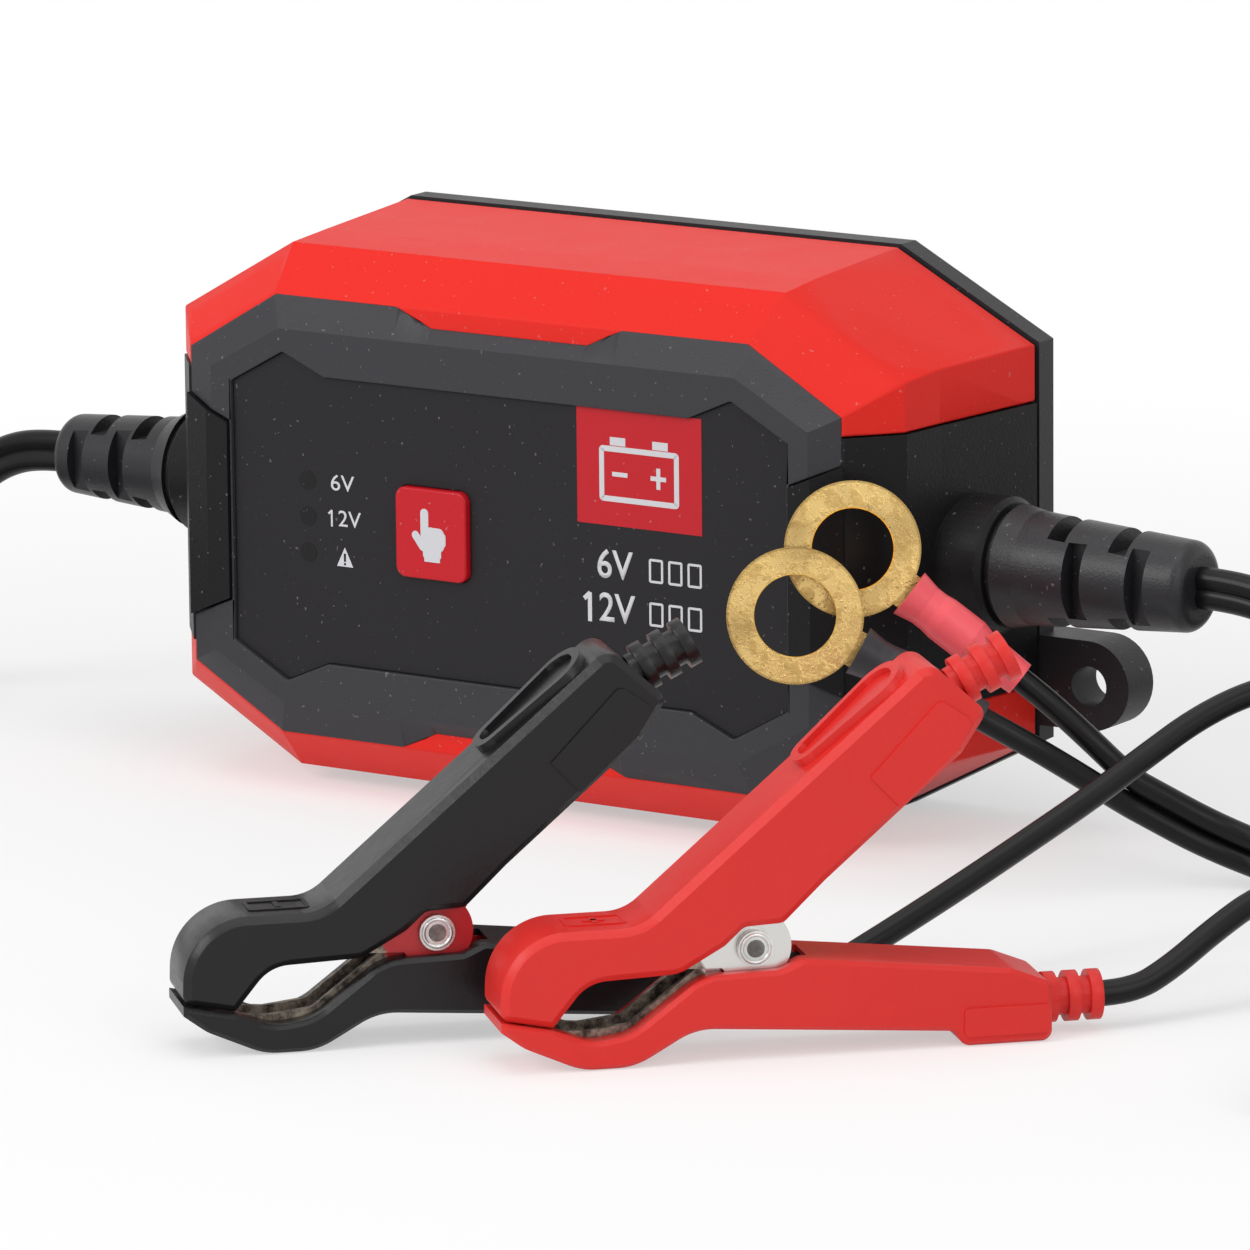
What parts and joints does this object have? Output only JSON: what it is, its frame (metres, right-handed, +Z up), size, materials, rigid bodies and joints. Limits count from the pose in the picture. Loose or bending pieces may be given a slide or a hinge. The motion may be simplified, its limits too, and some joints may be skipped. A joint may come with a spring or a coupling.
{
  "type": "battery charger",
  "caption": "Small octagonal car battery charger with a mains lead, an output lead, a pair of battery clamps and a pair of ring terminal leads.",
  "frame": {"origin": "centre of the floor area under the charger, clamps and ring terminals, without the leads, at floor level", "axes": "+X along the case towards the mains lead, +Y from the front panel to the back cover, +Z up"},
  "size_m": [0.3514, 0.2286, 0.0759],
  "materials": {
    "shell_red": "satin",
    "case_black": "fine grain",
    "label_print": "printed film",
    "button_red": "satin",
    "switch_black": "moulded",
    "light_lens": "smoked clear resin",
    "seal_rubber": "matt",
    "screw_steel": "plated",
    "board_green": "solder mask",
    "ferrite_grey": "ground ferrite",
    "copper_winding": "enamelled wire",
    "can_sleeve": "shrunk sleeve",
    "sink_aluminium": "extruded",
    "fuse_glass": "clear tube",
    "relief_rubber": "moulded",
    "cord_black": "smooth sheath",
    "plug_black": "moulded",
    "pin_nickel": "nickel",
    "contact_brass": "turned",
    "clamp_red": "soft vinyl",
    "clamp_black": "soft vinyl",
    "jaw_steel": "zinc plated",
    "ring_brass": "stamped",
    "sleeve_red": "shrunk sleeve",
    "sleeve_black": "shrunk sleeve"
  },
  "bodies": {
    "charger": {"red_shell": "shell_red", "front_bezel": "case_black", "end_plate_left": "case_black", "end_plate_right": "case_black", "back_cover": "case_black", "front_label": "label_print", "button_switch": "switch_black", "controller_chip": "switch_black", "power_transistor": "switch_black", "indicator_lights": "light_lens", "case_seal": "seal_rubber", "case_screws": "screw_steel", "board_screws": "screw_steel", "red_spring": "screw_steel", "black_spring": "screw_steel", "circuit_board": "board_green", "transformer_core": "ferrite_grey", "output_choke": "ferrite_grey", "transformer_winding": "copper_winding", "supply_capacitor": "can_sleeve", "output_capacitor": "can_sleeve", "heat_sink": "sink_aluminium", "input_fuse": "fuse_glass", "mains_strain_relief": "relief_rubber", "output_strain_relief": "relief_rubber", "mains_cord": "cord_black", "mains_cord_coil": "cord_black", "output_cord": "cord_black", "output_cord_coil": "cord_black", "clamp_twin_lead": "cord_black", "black_clamp_lead": "cord_black", "red_clamp_lead": "cord_black", "ring_twin_lead": "cord_black", "red_ring_lead": "cord_black", "black_ring_lead": "cord_black", "mains_plug": "plug_black", "output_connector": "plug_black", "clamp_connector": "plug_black", "ring_connector": "plug_black", "plug_pins": "pin_nickel", "output_contacts": "contact_brass", "clamp_contacts": "contact_brass", "ring_contacts": "contact_brass", "red_lower_cover": "clamp_red", "black_lower_cover": "clamp_black", "red_lower_jaw": "jaw_steel", "black_lower_jaw": "jaw_steel", "red_pivot_rivet": "jaw_steel", "black_pivot_rivet": "jaw_steel", "red_ring_terminal": "ring_brass", "black_ring_terminal": "ring_brass", "red_ring_sleeve": "sleeve_red", "black_ring_sleeve": "sleeve_black"},
    "button": {"mode_button": "button_red", "switch_plunger": "switch_black"},
    "red_clamp_arm": {"red_upper_cover": "clamp_red", "red_upper_jaw": "jaw_steel"},
    "black_clamp_arm": {"black_upper_cover": "clamp_black", "black_upper_jaw": "jaw_steel"}
  },
  "joints": [
    {"name": "button_press", "type": "slide", "parent": "charger", "child": "button", "axis": [0, 1, 0], "range_m": [0, 0.0006], "stiffness_N_per_m": 1500, "springref_m": -0.0006},
    {"name": "red_clamp_open", "type": "hinge", "parent": "charger", "child": "red_clamp_arm", "pos_m": [0.07288, -0.04352, 0.0135], "axis": [-0.7193, 0.6947, 0], "range_deg": [0, 28], "stiffness_Nm_per_rad": 0.4, "springref_deg": -40.11},
    {"name": "black_clamp_open", "type": "hinge", "parent": "charger", "child": "black_clamp_arm", "pos_m": [0.03578, -0.05672, 0.0135], "axis": [-0.7193, 0.6947, 0], "range_deg": [0, 28], "stiffness_Nm_per_rad": 0.4, "springref_deg": -40.11}
  ]
}
